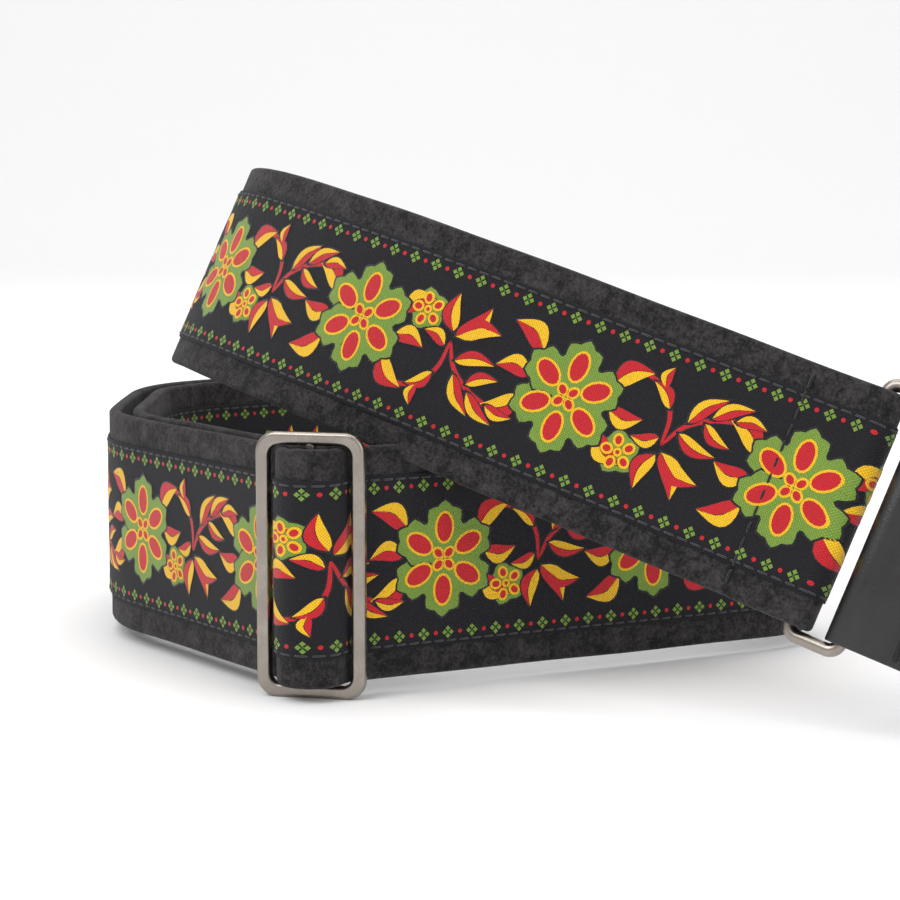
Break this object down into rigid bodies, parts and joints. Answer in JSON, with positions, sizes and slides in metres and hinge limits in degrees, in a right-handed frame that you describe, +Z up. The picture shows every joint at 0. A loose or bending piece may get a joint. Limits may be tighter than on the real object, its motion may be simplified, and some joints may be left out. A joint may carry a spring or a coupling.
{
  "type": "guitar strap",
  "caption": "Loosely coiled guitar strap: suede band with a woven floral ribbon, a metal slider, and a leather end with a button hole on a ring at each end.",
  "frame": {"origin": "on the floor, under the middle of the coiled strap's box", "axes": "+Z up; +Y away from the side that shows the slider; +X towards the front leather end"},
  "size_m": [0.2379, 0.3177, 0.112],
  "materials": {
    "suede": "napped",
    "webbing": "woven",
    "ribbon": "woven satin",
    "thread": "thread",
    "nickel": "antique nickel",
    "leather": "smooth",
    "ribbed_webbing": "ribbed"
  },
  "bodies": {
    "strap": {"suede_cover": "suede", "webbing_core": "webbing", "jacquard_ribbon": "ribbon", "ribbon_stitching_upper": "thread", "ribbon_stitching_lower": "thread", "ring_hem_stitching": "thread", "slider_hem_stitching": "thread"},
    "slider": {"slider_frame": "nickel", "slider_centre_bar": "nickel"},
    "front_ring": {"front_ring": "nickel"},
    "front_end": {"front_tab_leather": "leather", "front_tab_stiffener": "webbing", "front_tab_panel": "ribbed_webbing", "front_tab_stitching": "thread"},
    "rear_ring": {"rear_ring": "nickel"},
    "rear_end": {"rear_tab_leather": "leather", "rear_tab_stiffener": "webbing", "rear_tab_panel": "ribbed_webbing", "rear_tab_stitching": "thread"}
  },
  "joints": [
    {"name": "slider_rock", "type": "hinge", "parent": "strap", "child": "slider", "pos_m": [-0.0651, -0.086, 0.0285], "axis": [0, 0, 1], "range_deg": [-3, 3]},
    {"name": "front_ring_swing", "type": "hinge", "parent": "strap", "child": "front_ring", "pos_m": [0.04195, -0.11636, 0.04533], "axis": [0.39, 0.12, 0.913], "range_deg": [-40, 40]},
    {"name": "front_end_swing", "type": "hinge", "parent": "front_ring", "child": "front_end", "pos_m": [0.05125, -0.12144, 0.04202], "axis": [0.39, 0.12, 0.913], "range_deg": [-50, 50]},
    {"name": "rear_ring_swing", "type": "hinge", "parent": "strap", "child": "rear_ring", "pos_m": [-0.03932, 0.10729, 0.0285], "axis": [0, 0, 1], "range_deg": [-40, 40]},
    {"name": "rear_end_swing", "type": "hinge", "parent": "rear_ring", "child": "rear_end", "pos_m": [-0.03023, 0.11365, 0.0285], "axis": [0, 0, 1], "range_deg": [-50, 50]}
  ]
}
